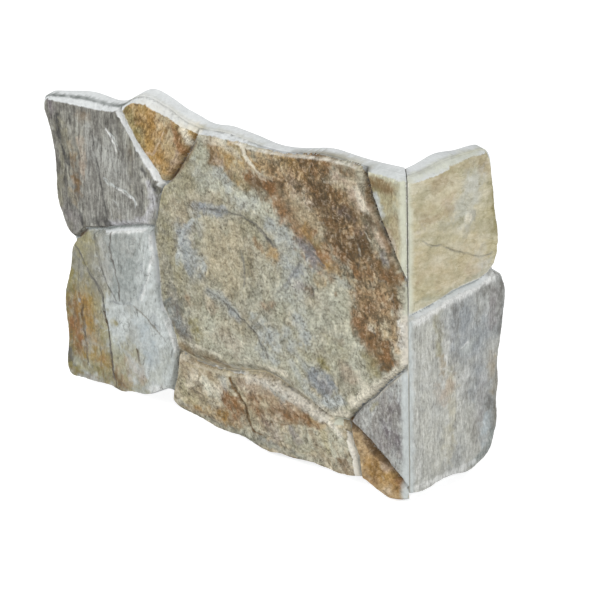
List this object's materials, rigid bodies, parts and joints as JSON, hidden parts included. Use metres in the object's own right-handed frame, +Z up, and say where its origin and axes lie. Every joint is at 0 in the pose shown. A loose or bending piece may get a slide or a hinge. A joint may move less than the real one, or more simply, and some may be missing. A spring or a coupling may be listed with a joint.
{
  "type": "stone-effect cladding corner piece",
  "caption": "Mitred outside-corner piece for wall cladding: a long and a short relief slab with split-stone faces, wavy interlocking edges and a keyed back.",
  "frame": {"origin": "inner arris of the corner, which lies on the wall's own corner, at the height of the lowest point of the lower edge", "axes": "+Z up along the inner arris, +Y out of the back of the long slab and along the short slab, -X along the long slab"},
  "size_m": [0.4939, 0.1445, 0.3361],
  "materials": {
    "slab": "matt",
    "adhesive": "matt"
  },
  "bodies": {
    "root": {"long_slab": "slab", "short_slab": "slab", "mitre_adhesive": "adhesive"}
  },
  "joints": []
}
